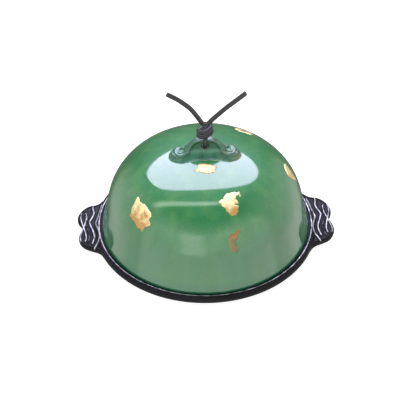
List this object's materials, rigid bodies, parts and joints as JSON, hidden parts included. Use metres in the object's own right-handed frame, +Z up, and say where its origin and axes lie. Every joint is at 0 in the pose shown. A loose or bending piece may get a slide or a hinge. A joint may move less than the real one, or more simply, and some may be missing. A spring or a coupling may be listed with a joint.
{
  "type": "lidded grill pan",
  "caption": "Round black cast grill pan with scroll side handles and a lacquered domed lid, lifted by a moulded lug with a knotted cord.",
  "frame": {"origin": "centre of the foot ring on the table", "axes": "+X through the right handle, -Y towards the front, +Z up"},
  "size_m": [0.224, 0.192, 0.1631],
  "materials": {
    "pan_iron": "black oiled cast iron, silvery wear along the raised edges",
    "lid_lacquer": "glossy pearl green lacquer, darker at the foot and on the lug",
    "cord_leather": "satin black round cord",
    "gold_leaf": "torn gold leaf under clear coat, copper toned where it is thin"
  },
  "bodies": {
    "pan": {"pan_dish": "pan_iron", "pan_handle_left": "pan_iron", "pan_handle_right": "pan_iron"},
    "lid": {"lid_shell": "lid_lacquer", "lid_lug": "lid_lacquer", "gold_leaf_1": "gold_leaf", "gold_leaf_2": "gold_leaf", "gold_leaf_3": "gold_leaf", "gold_leaf_4": "gold_leaf", "gold_leaf_5": "gold_leaf", "gold_leaf_6": "gold_leaf", "gold_leaf_7": "gold_leaf", "gold_leaf_8": "gold_leaf"},
    "cord": {"cord_loop": "cord_leather", "cord_knot": "cord_leather", "cord_tail_left": "cord_leather", "cord_tail_right": "cord_leather"}
  },
  "joints": [
    {"name": "lid_lift", "type": "slide", "parent": "pan", "child": "lid", "axis": [0, 0, 1], "range_m": [0, 0.12]},
    {"name": "cord_tilt", "type": "hinge", "parent": "lid", "child": "cord", "pos_m": [0, 0, 0.1096], "axis": [0, 1, 0], "range_deg": [-20, 20]}
  ]
}
